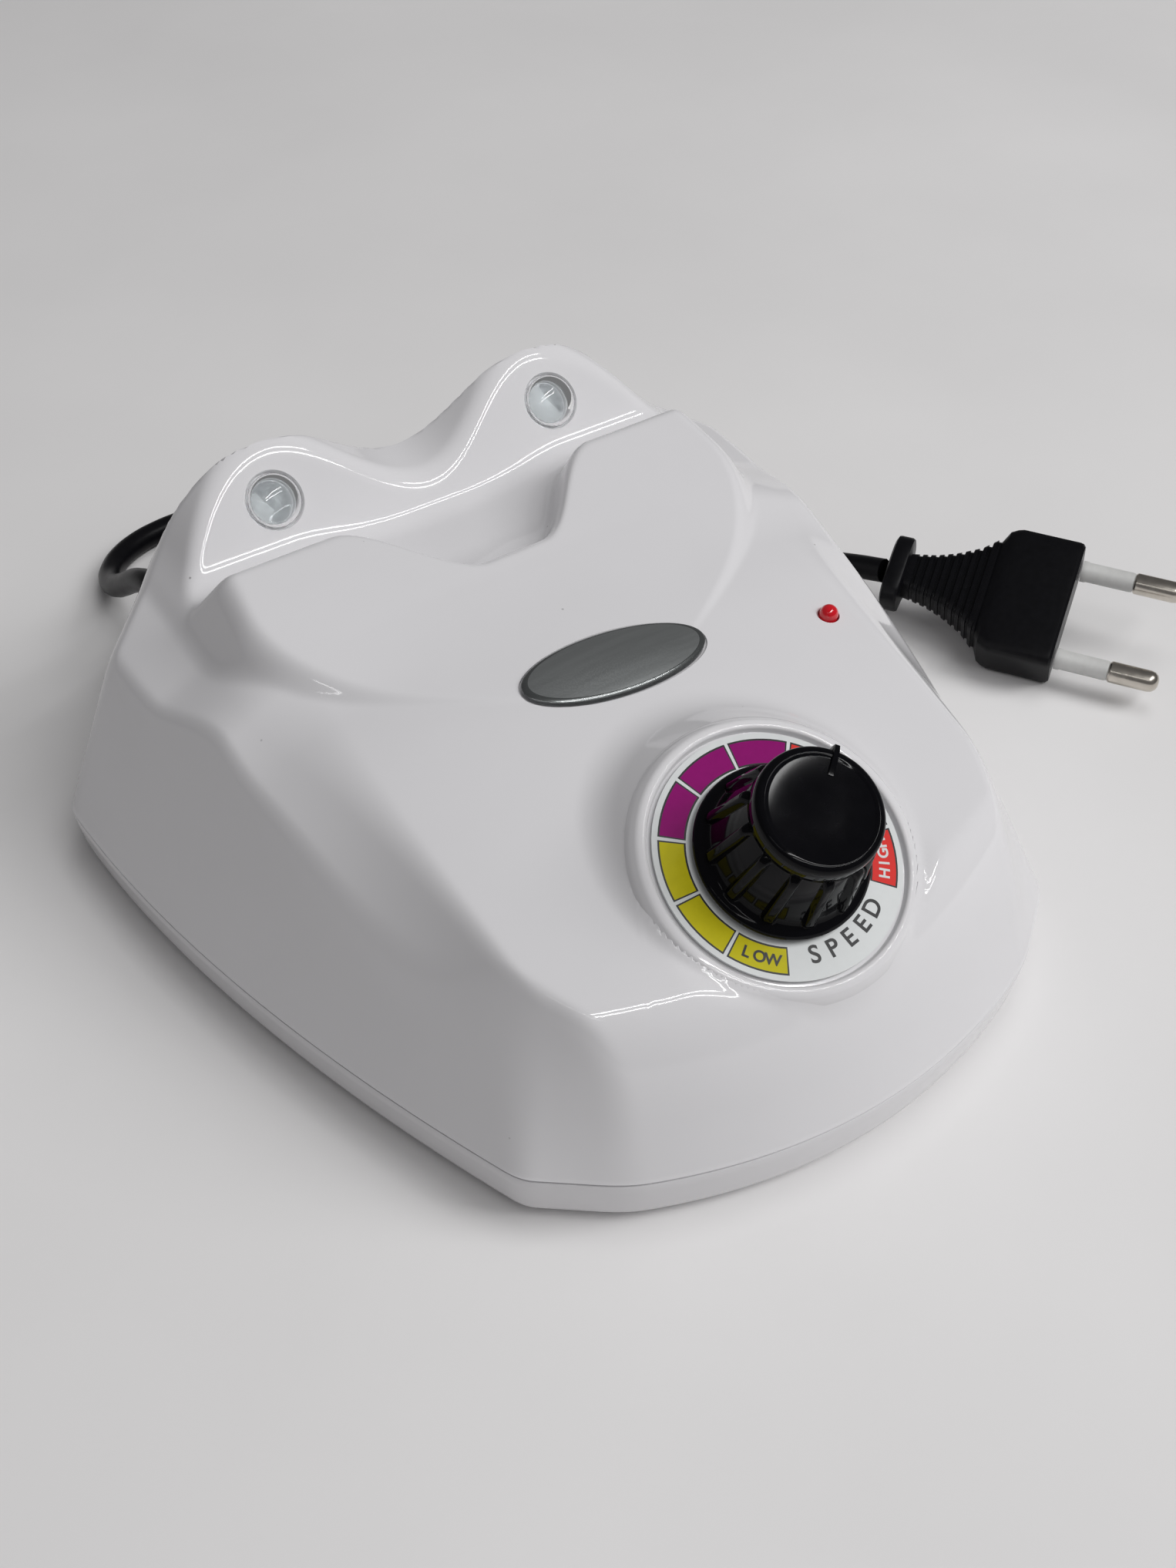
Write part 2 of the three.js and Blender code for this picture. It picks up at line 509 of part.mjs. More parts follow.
const coilOuter = CORD.coilMid + 1.5 * CORD.diameter;
const layerTop = CORD.diameter + 0.05;
place('cord_coil', lathe([[coilInner, 0.05], [coilOuter, 0.05], [coilOuter, layerTop],
  [coilOuter - CORD.diameter, layerTop], [coilOuter - CORD.diameter, layerTop + CORD.diameter],
  [coilInner, layerTop + CORD.diameter], [coilInner, 0.05]], 32), look.cable)
  .position.set(CORD.coilX, CORD.coilY, 0);

const plugSeat = new THREE.Group();           // +Z along the plug towards its pins, +X across the pins
const heading = PLUG.heading * DEG;
const along = new THREE.Vector3(Math.cos(heading), Math.sin(heading), 0);
const level = new THREE.Vector3(-Math.sin(heading), Math.cos(heading), 0);
const across = level.multiplyScalar(Math.cos(PLUG.roll * DEG)).setZ(Math.sin(PLUG.roll * DEG));
const up = new THREE.Vector3().crossVectors(along, across);
plugSeat.setRotationFromMatrix(new THREE.Matrix4().makeBasis(across, up, along));
plugSeat.position.set(PLUG.x, PLUG.y, PLUG.z);
part.add(plugSeat);
function rounded(halfX, halfY, z) {           // a rounded rectangle as a superellipse
  const ring = [];
  for (let i = 0; i < 20; i++) {
    const a = 2 * Math.PI * i / 20;
    const c = Math.cos(a);
    const s = Math.sin(a);
    const r = (Math.abs(c) ** 4 + Math.abs(s) ** 4) ** -0.25;
    ring.push([halfX * r * c, halfY * r * s, z]);
  }
  return ring;
}
const PLUG_FACE = 34;
place('plug_body', ringSolid([0, 0, PLUG_FACE], [
  [12.6, 4.8, 34], [13, 5.2, 33.4], [13, 5.2, 22.5], [12.2, 5, 20], [7.8, 4.3, 16], [4.6, 3.7, 8],
  [3.7, 3.4, 3.6], [7.2, 4.4, 3.3], [7.2, 4.4, 0.6], [6.6, 3.9, 0],
].map(([a, b, z]) => rounded(a, b, z)), [0, 0, 0]), look.cable, plugSeat);
const PIN = { spacing: 18.6, radius: 2, sleeve: 10, length: 19 };
[-1, 1].forEach((side, i) => {
  const { radius, sleeve, length } = PIN;
  const sleeveShape = [[0, GAP], [radius, GAP], [radius, sleeve], [0, sleeve]];
  const start = sleeve + GAP;
  const pinShape = [[0, start], [radius, start], [radius, length - 1.2], [1.3, length - 0.2], [0, length]];
  const spot = [side * PIN.spacing / 2, 0, PLUG_FACE];
  place(`plug_sleeve_${i + 1}`, lathe(sleeveShape, 12), look.sleeve, plugSeat).position.set(...spot);
  place(`plug_pin_${i + 1}`, lathe(pinShape, 12), look.brass, plugSeat).position.set(...spot);
});

export default part;
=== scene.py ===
import json
import math

import bmesh
import bpy
import numpy as np
from mathutils import Matrix, Vector

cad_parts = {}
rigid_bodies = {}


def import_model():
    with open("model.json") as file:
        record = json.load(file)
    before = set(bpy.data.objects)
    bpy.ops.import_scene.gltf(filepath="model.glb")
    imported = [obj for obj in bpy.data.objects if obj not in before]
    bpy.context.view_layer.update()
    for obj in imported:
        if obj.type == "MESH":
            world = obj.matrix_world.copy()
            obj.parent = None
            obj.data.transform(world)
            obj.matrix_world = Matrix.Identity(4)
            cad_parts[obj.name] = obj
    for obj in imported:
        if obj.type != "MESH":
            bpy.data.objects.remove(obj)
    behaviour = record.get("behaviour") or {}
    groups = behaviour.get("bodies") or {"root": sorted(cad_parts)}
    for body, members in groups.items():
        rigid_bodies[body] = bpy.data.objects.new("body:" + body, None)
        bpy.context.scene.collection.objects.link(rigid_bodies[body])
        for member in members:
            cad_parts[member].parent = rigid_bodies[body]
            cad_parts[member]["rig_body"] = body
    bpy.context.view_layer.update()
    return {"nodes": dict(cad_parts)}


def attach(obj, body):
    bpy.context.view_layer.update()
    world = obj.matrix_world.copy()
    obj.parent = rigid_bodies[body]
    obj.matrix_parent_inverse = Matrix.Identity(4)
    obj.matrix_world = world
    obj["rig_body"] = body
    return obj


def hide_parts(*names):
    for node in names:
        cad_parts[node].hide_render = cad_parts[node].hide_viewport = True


# Control box of an electric nail drill. Lengths here are in millimetres; MM turns them into metres.
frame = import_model()
MM = 0.001
SCENE = bpy.context.scene
RAD = math.radians

# ---------- camera ----------
cam = bpy.data.objects.new("camera", bpy.data.cameras.new("camera"))
SCENE.collection.objects.link(cam)
SCENE.camera = cam
CAM_FROM = Vector((-121.0, -175.2, 224.1)) * MM
CAM_TO = Vector((-7.45, -6.0, 28.08)) * MM
cam.location = CAM_FROM
cam.rotation_euler = (CAM_TO - CAM_FROM).to_track_quat("-Z", "Y").to_euler()
cam.data.sensor_width = 36
cam.data.lens = 42.45
cam.data.clip_start = 0.01


# ---------- materials ----------
def dusted(tree, place, color, strength):
    """The colour with small dark specks over it, in patches."""
    cells = tree.nodes.new("ShaderNodeTexVoronoi")
    cells.inputs["Scale"].default_value = 150
    tree.links.new(place.outputs["Object"], cells.inputs["Vector"])
    dot = tree.nodes.new("ShaderNodeMapRange")
    dot.inputs["From Min"].default_value = 0.035
    dot.inputs["From Max"].default_value = 0.02
    tree.links.new(cells.outputs["Distance"], dot.inputs["Value"])
    patch = tree.nodes.new("ShaderNodeTexNoise")
    patch.inputs["Scale"].default_value = 70
    tree.links.new(place.outputs["Object"], patch.inputs["Vector"])
    gate = tree.nodes.new("ShaderNodeMapRange")
    gate.inputs["From Min"].default_value = 0.52
    gate.inputs["From Max"].default_value = 0.6
    gate.inputs["To Max"].default_value = strength
    tree.links.new(patch.outputs["Fac"], gate.inputs["Value"])
    both = tree.nodes.new("ShaderNodeMath")
    both.operation = "MULTIPLY"
    tree.links.new(dot.outputs["Result"], both.inputs[0])
    tree.links.new(gate.outputs["Result"], both.inputs[1])
    mix = tree.nodes.new("ShaderNodeMix")
    mix.data_type = "RGBA"
    tree.links.new(both.outputs["Value"], mix.inputs["Factor"])
    tree.links.new(color, mix.inputs["A"])
    mix.inputs["B"].default_value = (0.2, 0.19, 0.2, 1)
    return mix.outputs["Result"]


def material(name, color, rough, metallic=0.0, scale=400.0, vary=0.04, bump=0.02, rough_vary=0.15,
             stretch=(1, 1, 1), specks=0.0, **sockets):
    """A Principled material whose colour and roughness vary a little; further sockets go by name."""
    m = bpy.data.materials.new(name)
    m.use_nodes = True
    tree = m.node_tree
    shader = tree.nodes["Principled BSDF"]
    place = tree.nodes.new("ShaderNodeTexCoord")
    mapping = tree.nodes.new("ShaderNodeMapping")
    mapping.inputs["Scale"].default_value = stretch
    tree.links.new(place.outputs["Object"], mapping.inputs["Vector"])
    noise = tree.nodes.new("ShaderNodeTexNoise")
    noise.inputs["Scale"].default_value = scale
    noise.inputs["Detail"].default_value = 5
    tree.links.new(mapping.outputs["Vector"], noise.inputs["Vector"])
    ramp = tree.nodes.new("ShaderNodeValToRGB")
    low, high = ramp.color_ramp.elements
    low.position, high.position = 0.3, 0.7
    low.color = (*[c * (1 - vary) for c in color], 1)
    high.color = (*[min(1, c * (1 + vary)) for c in color], 1)
    tree.links.new(noise.outputs["Fac"], ramp.inputs["Fac"])
    last = ramp.outputs["Color"]
    if specks:
        last = dusted(tree, place, last, specks)
    tree.links.new(last, shader.inputs["Base Color"])
    span = tree.nodes.new("ShaderNodeMapRange")
    span.inputs["To Min"].default_value = rough * (1 - rough_vary)
    span.inputs["To Max"].default_value = rough * (1 + rough_vary)
    tree.links.new(noise.outputs["Fac"], span.inputs["Value"])
    tree.links.new(span.outputs["Result"], shader.inputs["Roughness"])
    if bump:
        node = tree.nodes.new("ShaderNodeBump")
        node.inputs["Strength"].default_value = bump
        node.inputs["Distance"].default_value = 0.0002
        tree.links.new(noise.outputs["Fac"], node.inputs["Height"])
        tree.links.new(node.outputs["Normal"], shader.inputs["Normal"])
    shader.inputs["Metallic"].default_value = metallic
    for key, value in sockets.items():
        shader.inputs[key.replace("_", " ")].default_value = value
    return m


WHITE = material("white_gloss", (0.73, 0.722, 0.738), 0.07, scale=60, vary=0.008, bump=0.02, specks=0.7)
BLACK = material("black_gloss", (0.003, 0.003, 0.004), 0.07, scale=500, vary=0.1, bump=0.0,
                 Specular_IOR_Level=0.12)
CABLE = material("black_satin", (0.004, 0.004, 0.005), 0.34, scale=900, vary=0.15, bump=0.06,
                 Specular_IOR_Level=0.15)
RUBBER = material("foot_rubber", (0.02, 0.02, 0.022), 0.75, scale=1500, vary=0.2, bump=0.2)
SILVER = material("plaque_metal", (0.4, 0.42, 0.42), 0.4, 0.85, scale=900, vary=0.06, bump=0.02,
                  stretch=(0.06, 1, 1), Coat_Weight=1.0, Coat_Roughness=0.02)
PLAQUE_EDGE = material("plaque_edge", (0.16, 0.17, 0.17), 0.25, 0.8, scale=600, Coat_Weight=1.0)
LABEL = material("label_ground", (0.66, 0.68, 0.68), 0.3, scale=700, vary=0.02, bump=0.01)
INK = material("print_black", (0.01, 0.01, 0.011), 0.35, scale=900, vary=0.1)
YELLOW = material("print_yellow", (0.56, 0.5, 0.008), 0.3, scale=900, vary=0.03, Specular_IOR_Level=0.12)
MAGENTA = material("print_magenta", (0.25, 0.001, 0.14), 0.3, scale=900, vary=0.03, Specular_IOR_Level=0.12)
CORAL = material("print_red", (0.7, 0.035, 0.03), 0.3, scale=900, vary=0.03, Specular_IOR_Level=0.12)
# LED dome: the faint red emission is a painted glow that stands in for light falling on the dome; the lamp itself is
# off, since the mains plug is out
RED = material("led_red", (0.55, 0.004, 0.012), 0.06, scale=300, vary=0.05, bump=0.0, Coat_Weight=1.0,
               Emission_Color=(0.6, 0.0, 0.01, 1), Emission_Strength=0.12)
CLEAR = material("clear_silicone", (0.9, 0.94, 0.95), 0.03, scale=200, vary=0.01, bump=0.0,
                 Transmission_Weight=0.92, IOR=1.45)
SLEEVE = material("pin_sleeve", (0.55, 0.55, 0.54), 0.45, scale=800, vary=0.04, bump=0.04)
NICKEL = material("pin_nickel", (0.62, 0.58, 0.52), 0.25, 1.0, scale=700, vary=0.08, bump=0.05)
STEEL = material("steel", (0.5, 0.5, 0.51), 0.3, 1.0, scale=800, vary=0.1, bump=0.05)
ALUMINIUM = material("aluminium", (0.68, 0.69, 0.7), 0.35, 1.0, scale=700, vary=0.06, bump=0.05)
BOARD = material("board_green", (0.02, 0.13, 0.05), 0.4, scale=500, vary=0.2, bump=0.05)
COPPER = material("winding", (0.45, 0.2, 0.08), 0.35, 0.9, scale=900, vary=0.2, bump=0.3, stretch=(0.1, 1, 1))
CORE = material("laminations", (0.13, 0.135, 0.14), 0.55, 0.7, scale=2500, vary=0.3, bump=0.4,
                stretch=(0.02, 1, 0.02))
GLASS = material("fuse_glass", (0.8, 0.84, 0.84), 0.05, scale=200, vary=0.02, Transmission_Weight=0.8)


# ---------- mesh helpers ----------
def make(name, vertices, faces, mats, body, which=None, sharp=35):
    mesh = bpy.data.meshes.new(name)
    mesh.from_pydata((np.asarray(vertices, float) * MM).tolist(), [], faces)
    mats = mats if isinstance(mats, list) else [mats]
    for m in mats:
        mesh.materials.append(m)
    if which is not None:
        mesh.polygons.foreach_set("material_index", which)
    o = bpy.data.objects.new(name, mesh)
    SCENE.collection.objects.link(o)
    smooth(o, sharp)
    if body:
        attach(o, body)
    return o


def smooth(o, sharp=35):
    mesh = o.data
    mesh.update()
    mesh.polygons.foreach_set("use_smooth", [True] * len(mesh.polygons))
    mesh.set_sharp_from_angle(angle=RAD(sharp))


def at(x, y, z, tilt=0.0, turn=0.0):
    """A frame whose +Z leans towards -Y by tilt degrees."""
    return Matrix.Translation((x, y, z)) @ Matrix.Rotation(RAD(tilt), 4, "X") @ Matrix.Rotation(RAD(turn), 4, "Z")


def moved(vertices, matrix):
    m = np.array(matrix)
    v = np.asarray(vertices, float)
    return v @ m[:3, :3].T + m[:3, 3]


def strips(rings, count, start=None, end=None, loop=False):
    """Faces between rings of count points each, with an optional vertex index closing each end."""
    faces = []
    last = rings if loop else rings - 1
    for k in range(last):
        a, b = k * count, (k + 1) % rings * count
        for i in range(count):
            j = (i + 1) % count
            faces.append((a + i, b + i, b + j, a + j))
    for i in range(count):
        j = (i + 1) % count
        if start is not None:
            faces.append((start, i, j))
        if end is not None:
            faces.append((end, (rings - 1) * count + j, (rings - 1) * count + i))
    return faces


def ease(x, a, b):
    """0 up to a, 1 from b on, and a smooth rise between."""
    t = np.clip((x - a) / (b - a), 0, 1)
    return t * t * (3 - 2 * t)


def circle(sides):
    return np.arange(sides) * 2 * math.pi / sides


def ring(a, b, z, angles):
    """A level ellipse with half axes a and b; either may be an array, one value for each angle."""
    return np.stack([a * np.cos(angles), b * np.sin(angles), np.full(len(angles), z)], 1)


def capped(rings, first, last):
    """Vertices and faces of the closed solid through some rings, with a point closing each end."""
    v = np.concatenate(list(rings) + [np.array([first, last], float)])
    return v, strips(len(rings), len(rings[0]), len(v) - 2, len(v) - 1)


def lathe(profile, sides=96):
    """Vertices and faces of a profile of (radius, height) turned about +Z; a closed profile makes a ring."""
    closed = profile[0] == profile[-1]
    points = profile[:-1] if closed else profile[1:-1]
    rings = [ring(r, r, h, circle(sides)) for r, h in points]
    if closed:
        return np.concatenate(rings), strips(len(rings), sides, loop=True)
    return capped(rings, (0, 0, profile[0][1]), (0, 0, profile[-1][1]))


def dome_profile(radius, z, rise):
    """Points of a quarter ellipse, from just above its foot at z to near its top."""
    return [(radius * math.cos(k * RAD(9)), z + rise * math.sin(k * RAD(9))) for k in range(1, 10)]


def box_mesh(x0, x1, y0, y1, z0, z1):
    v = [(x, y, z) for z in (z0, z1) for y in (y0, y1) for x in (x0, x1)]
    return np.array(v, float), [(0, 2, 3, 1), (4, 5, 7, 6), (0, 1, 5, 4), (2, 6, 7, 3), (0, 4, 6, 2), (1, 3, 7, 5)]


def boolean(o, solids, operation):
    """o joined with, or cut by, a list of (vertices, faces) closed solids that don't touch each other."""
    vertices, faces, first = [], [], 0
    for v, f in solids:
        vertices.append(v)
        faces += [tuple(i + first for i in face) for face in f]
        first += len(v)
    tool = make("tool", np.concatenate(vertices), faces, [], None)
    for p in (tool, o):
        bm = bmesh.new()
        bm.from_mesh(p.data)
        bmesh.ops.recalc_face_normals(bm, faces=bm.faces)
        bm.to_mesh(p.data)
        bm.free()
    m = o.modifiers.new("shape", "BOOLEAN")
    m.operation, m.object, m.solver = operation, tool, "EXACT"
    bpy.context.view_layer.update()
    result = bpy.data.meshes.new_from_object(o.evaluated_get(bpy.context.evaluated_depsgraph_get()))
    o.modifiers.clear()
    o.data = result
    bpy.data.objects.remove(tool)
    smooth(o)


def dressed(node, mat, width=0.4, sharp=35):
    """The CAD node's own shape with its edges rounded, standing for it."""
    source = frame["nodes"][node]
    bm = bmesh.new()
    bm.from_mesh(source.data)
    bmesh.ops.remove_doubles(bm, verts=bm.verts, dist=1e-6)
    bmesh.ops.dissolve_limit(bm, angle_limit=RAD(1), verts=bm.verts, edges=bm.edges)
    mesh = bpy.data.meshes.new(node + "_moulded")
    bm.to_mesh(mesh)
    bm.free()
    mesh.materials.append(mat)
    mesh.polygons.foreach_set("material_index", [0] * len(mesh.polygons))
    o = bpy.data.objects.new(node + "_moulded", mesh)
    SCENE.collection.objects.link(o)
    m = o.modifiers.new("edges", "BEVEL")
    m.width, m.segments, m.limit_method, m.angle_limit = width * MM, 3, "ANGLE", RAD(30)
    bpy.context.view_layer.update()
    o.data = bpy.data.meshes.new_from_object(o.evaluated_get(bpy.context.evaluated_depsgraph_get()))
    o.modifiers.clear()
    smooth(o, sharp)
    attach(o, source["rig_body"])
    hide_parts(node)
    return o


# ---------- mains lead: it leaves the rear, is coiled behind the case and comes out beside it ----------
CORD_WIDTH = 4.6
LOW = 2.35              # height of the centreline of a cord that lies on the table
REAR_LEAD = [
    (-38, 67.1, 18), (-38, 78, 18), (-38, 87, 17.9), (-38.1, 93, 16.6), (-38.4, 98.5, 13.6), (-38.8, 103.5, 9.8),
    (-39.1, 108.5, 6.3), (-38.6, 113.5, 3.9), (-36.6, 118.2, 2.7), (-33, 121.9, LOW), (-28.2, 124.3, LOW),
    (-23.5, 125.4, LOW), (-19.5, 125.7, LOW), (-14, 125.7, LOW), (-8, 125.4, LOW)]
PLUG_LEAD = [
    (15.8, 114.1, 7), (22.9, 110.3, 7), (26.5, 108.4, 7), (30.2, 106.5, 5.7), (34.2, 104.5, 4.1), (38.8, 102.4, 2.8),
    (44, 100.3, LOW), (51, 97.8, LOW), (58, 94.9, LOW), (64.4, 91.2, LOW), (69.9, 86.6, LOW), (74.1, 81, LOW),
    (76.6, 74.6, LOW), (77.4, 68, LOW), (77.4, 61, LOW), (77.4, 54, LOW), (77.6, 48.5, 2.7), (78.3, 43, 4.2),
    (79.5, 37.5, 6.2), (81, 32, 8.2), (82.6, 27.2, 9.6)]


def coil(per_turn=24, turns=4 + 28 / 360, middle=(-2, 97.5), inner=4 * CORD_WIDTH):
    """Three turns on the table from the outside in, then the rest on top of them from the inside out."""
    points = []
    for k in range(int(turns * per_turn) + 1):
        whole, share = k // per_turn, k % per_turn / per_turn
        move = ease(share, 0.72, 1)
        if whole < 2:
            radius, layer = inner + CORD_WIDTH * (2 - whole - move), 0
        elif whole == 2:
            radius, layer = inner, move
        elif whole == 3:
            radius, layer = inner + CORD_WIDTH * ease(share, 0.42, 0.7), 1
        else:
            radius, layer = inner + CORD_WIDTH, 1
        a = 2 * math.pi * share
        points.append((middle[0] + radius * math.sin(a), middle[1] + radius * math.cos(a), LOW + CORD_WIDTH * layer))
    return points


ROUTE = REAR_LEAD + coil() + PLUG_LEAD
curve = bpy.data.curves.new("mains_lead", "CURVE")
curve.dimensions = "3D"
curve.bevel_depth = CORD_WIDTH / 2 * MM
curve.bevel_resolution = 5
curve.resolution_u = 5
curve.use_fill_caps = True
line = curve.splines.new("BEZIER")
line.bezier_points.add(len(ROUTE) - 1)
for spot, p in zip(line.bezier_points, ROUTE):
    spot.co = Vector(p) * MM
    spot.handle_left_type = spot.handle_right_type = "AUTO"
curve.materials.append(CABLE)
lead = bpy.data.objects.new("mains_lead", curve)
SCENE.collection.objects.link(lead)
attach(lead, "case")
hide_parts("cord_lead_rear", "cord_coil", "cord_lead_plug")

# tapered strain relief with rings
profile = [(2.6, -7.0), (6.4, -7.0), (6.4, -4.9), (4.8, -4.9), (4.8, 0.05), (6.0, 0.05), (6.2, 0.3), (6.2, 0.9),
           (6.0, 1.2), (4.9, 1.3)]
for k in range(7):
    z0 = 2.2 + 2.6 * k
    r0 = 4.75 - 0.05 * z0
    profile += [(r0 - 0.55, z0), (r0 - 0.55, z0 + 0.6), (r0, z0 + 0.8), (r0 - 0.02, z0 + 1.9), (r0 - 0.1, z0 + 2.1)]
profile += [(3.6, 20.4), (3.3, 20.8), (2.6, 20.8), (2.6, -7.0)]
v, f = lathe(profile, 64)
CORD_SEAT = Matrix.Translation((-38, 66.8, 18)) @ Matrix.Rotation(RAD(-90), 4, "X")
bushing = make("strain_relief", moved(v, CORD_SEAT), f, CABLE, "case")
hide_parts("cord_bushing")

# plug: flange, ribbed neck, flat block
HEADING, ROLL = RAD(-56.1), RAD(26)
along = Vector((math.cos(HEADING), math.sin(HEADING), 0))
across = Vector((-math.sin(HEADING), math.cos(HEADING), 0)) * math.cos(ROLL) + Vector((0, 0, math.sin(ROLL)))
up = along.cross(across)
PLUG_SEAT = Matrix.Translation((83.0, 26.3, 9.8)) @ Matrix((across, up, along)).transposed().to_4x4()
STATIONS = [(6.4, 3.7, 0.0), (7.1, 4.3, 0.35), (7.2, 4.4, 0.8), (7.2, 4.4, 2.9), (7.0, 4.2, 3.3), (5.0, 3.7, 3.5),
            (3.8, 3.4, 3.7)]


def neck(z):
    """Half width and half thickness of the plug's body along its axis."""
    w = np.interp(z, [3.7, 8, 12, 16, 18.5, 20, 22.5], [3.75, 4.6, 5.9, 7.8, 9.9, 12.0, 12.9])
    t = np.interp(z, [3.7, 8, 16, 20, 22.5], [3.4, 3.7, 4.3, 5.0, 5.15])
    return w, t


z = 4.2
while z < 19.2:
    (wa, ta), (wb, tb) = neck(z), neck(z + 0.75)
    STATIONS += [(wa, ta, z), (wb, tb, z + 0.75), (wb - 0.15, tb - 0.5, z + 0.85), (wb - 0.1, tb - 0.5, z + 1.35)]
    z += 1.5
STATIONS += [(12.0, 5.0, 20.2), (12.7, 5.15, 21.4), (13.0, 5.2, 22.4), (13.0, 5.2, 23.2), (13.0, 5.2, 32.9),
             (12.9, 5.1, 33.5), (12.5, 4.75, 33.95)]
around = circle(96)
rings = []
for w, t, z in STATIONS:
    power = 3.0 if z < 3.7 else 4 + 5 * ease(z, 8, 22)     # from a rounded flange to an almost square block
    r = (np.abs(np.cos(around)) ** power + np.abs(np.sin(around)) ** power) ** (-1 / power)
    rings.append(ring(w * r, t * r, z, around))
v, f = capped(rings, (0, 0, STATIONS[0][2]), (0, 0, STATIONS[-1][2]))
plug = make("plug_moulding", moved(v, PLUG_SEAT), f, CABLE, "case", sharp=28)
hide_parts("plug_body")
plug_pieces = [plug]
for k, side in ((1, -1), (2, 1)):
    seat = PLUG_SEAT @ Matrix.Translation((side * 9.3, 0, 34))
    v, f = lathe([(0, 0.3), (1.98, 0.3), (1.98, 1.2), (1.85, 1.4), (1.85, 9.4), (1.75, 9.9), (0, 9.9)], 48)
    sleeve = make("pin_sleeve_%d" % k, moved(v, seat), f, SLEEVE, "case")
    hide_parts("plug_sleeve_%d" % k)
    v, f = lathe([(0, 10.0), (1.7, 10.0), (1.98, 10.35), (1.98, 17.3), (1.8, 18.1), (1.3, 18.7), (0.7, 18.95),
                  (0, 19.0)], 48)
    pin = make("pin_%d" % k, moved(v, seat), f, NICKEL, "case")
    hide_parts("plug_pin_%d" % k)
    plug_pieces += [sleeve, pin]

# ---------- outer shape of the case ----------
HALF_WIDTH, FRONT, REAR, PARTING, LEAN = 71.2, -68.0, 66.8, 10.6, 4.8
DIAL_Y, DIAL_Z, DIAL_TILT, DIAL_EDGE = -42.4, 39.7, 26.1, 20.6
DIAL = at(0, DIAL_Y, DIAL_Z, DIAL_TILT)
MIDDLE = 4.0            # y of the point from which the shells' rays start


def soft_min(a, b, k):
    h = np.maximum(k - np.abs(a - b), 0) / k
    return np.minimum(a, b) - h * h * k / 4


def soft_max(a, b, k):
    return -soft_min(-a, -b, k)


def panel(x, y):
    t = y + 2
    crown = np.where(t < 0, 45.9 + 0.14 * t - 0.0012 * t * t, 45.9 + 1.9 * (1 - np.exp(-0.14 * t / 1.9)))
    return crown - 4.8 * ease(y, 20, 38) - 3 * (1 - ease(y, 10, 35)) * (x / 44) ** 2


def turret(ax, y):
    """The raised rest: a sloping front, a hollow floor, and a ridge with a horn on each side."""
    front = 46.9 + 0.225 * (y - 13)
    lip = 26 + 15 * ease(ax, 5, 24)
    hump = soft_min(front, 46.9 + 0.225 * (lip - 13) - 1.6 * (y - lip), 2.5)
    floor = 42.8 + 2.2 * ease(ax, 5, 26)
    inner = 48.8 + 5.35 * (1 - np.cos(math.pi * np.minimum(ax, 25) / 25))
    ridge = soft_min(45 + 1.17 * (y - 50), inner - 14 * (np.maximum(0, ax - 25) / 20) ** 2, 3)
    half = 47.5 - 10.5 * (np.maximum(0, 33 - y) / 20) ** 2
    return soft_min(soft_max(soft_max(hump, floor, 2), ridge, 3), 44 + 1.9 * (half - ax), 4)


def front_face(x, y):
    return PARTING + 2.7 * (y - FRONT - x * x / 161)


def case_height(x, y):
    """Panel, side bands, front, corner facets, sides, rest for the handpiece, rear face and rear corners."""
    ax = np.abs(x)
    edge = 43.2 + 0.06 * y
    ahead = np.maximum(0, 20 - y)
    band = panel(edge, y) + (0.45 + 0.0125 * ahead + 0.00018 * ahead ** 2) * (edge - ax)
    z = soft_min(panel(x, y), band, 2)
    z = soft_min(z, front_face(x, y), 13)
    twist = np.minimum(soft_max(2.5 - 0.09 * (0.788 * ax + 0.616 * y), 1.45, 0.9), 3.2)
    z = soft_min(z, PARTING + twist * ((48.5 - ax) * 0.616 + (50.5 + y) * 0.788), 2.6)
    z = soft_min(z, PARTING + 2.17 * (HALF_WIDTH - 0.004975 * np.abs(52 - y) ** 1.82 - ax), 2.4)
    z = soft_max(z, turret(ax, y), 2.5)
    z = soft_min(z, PARTING + (REAR - y) / math.tan(RAD(LEAN)), 5)
    return soft_min(z, PARTING + 3.2 * ((70 - ax) * 0.72 + (54 - y) * 0.694), 8)


def dial_surface(x, y, depth):
    """Height of the surface whose place along the dial's axis depends on the distance from it, and that distance."""
    c, s = math.cos(RAD(DIAL_TILT)), math.sin(RAD(DIAL_TILT))
    dy = y - DIAL_Y
    w = np.zeros_like(x)
    for _ in range(30):
        z = (w + dy * s) / c
        r = np.hypot(x, dy * c + z * s)
        w = depth(r)
    return DIAL_Z + (w + dy * s) / c, r


def outer_height(x, y):
    """The case with the dial's boss: cleared a little around it, raised to it, and sunk under its ring."""
    def dish(r):
        return -0.5 + 0.42 * np.maximum(0, r - DIAL_EDGE) + 0.03 * np.clip(r - 24, 0, 15) ** 2

    def flank(r):
        return -1.3 * np.maximum(0, r - DIAL_EDGE) - 0.15

    z = soft_min(case_height(x, y), dial_surface(x, y, dish)[0], 1.6)
    z = soft_max(z, dial_surface(x, y, flank)[0], 2.4)
    sunk, r = dial_surface(x, y, lambda r: np.full_like(r, -1.9))
    return np.where(r < DIAL_EDGE + 0.3, sunk, z)


def inner_height(x, y, wall=2.2):
    """The case's own surface, one wall thickness further in."""
    z = case_height(x, y) - wall
    for i in range(12):
        a = i * math.pi / 6
        for share in (0.6, 1.0):
            r = share * wall
            drop = math.sqrt(max(0, wall * wall - r * r))
            z = np.minimum(z, case_height(x + r * math.cos(a), y + r * math.sin(a)) - drop)
    return z


